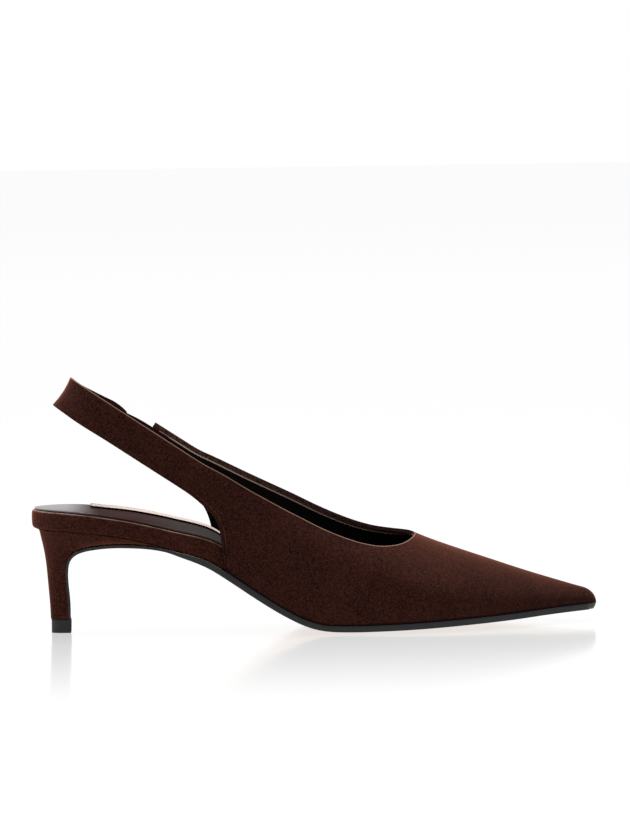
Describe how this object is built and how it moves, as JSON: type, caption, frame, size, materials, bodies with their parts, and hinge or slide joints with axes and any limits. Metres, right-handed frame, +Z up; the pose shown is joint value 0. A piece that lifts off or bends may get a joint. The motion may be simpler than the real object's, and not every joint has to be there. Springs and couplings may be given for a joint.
{
  "type": "slingback pump",
  "caption": "Slingback pump with a pointed toe, a low-cut vamp, a sling strap with a short elastic and a slim covered kitten heel.",
  "frame": {"origin": "on the floor, under the middle of the shoe's length and width", "axes": "+X from the heel to the toe, +Y to the inner (medial) side of the foot, +Z up"},
  "size_m": [0.26, 0.077, 0.1169],
  "materials": {
    "upper_suede": "dark brown suede",
    "board_suede": "dark brown suede cover",
    "heel_suede": "dark brown suede cover",
    "sole_leather": "smooth beige underside with a black edge",
    "heel_tip": "matte black",
    "sock_leather": "smooth, slightly glossy dark brown",
    "sock_panel": "matte pale beige",
    "elastic": "woven dark brown"
  },
  "bodies": {
    "root": {"upper": "upper_suede", "insole_board": "board_suede", "heel_block": "heel_suede", "outsole": "sole_leather", "heel_tip": "heel_tip", "insole_sock": "sock_leather", "sock_panel": "sock_panel", "elastic": "elastic"}
  },
  "joints": []
}
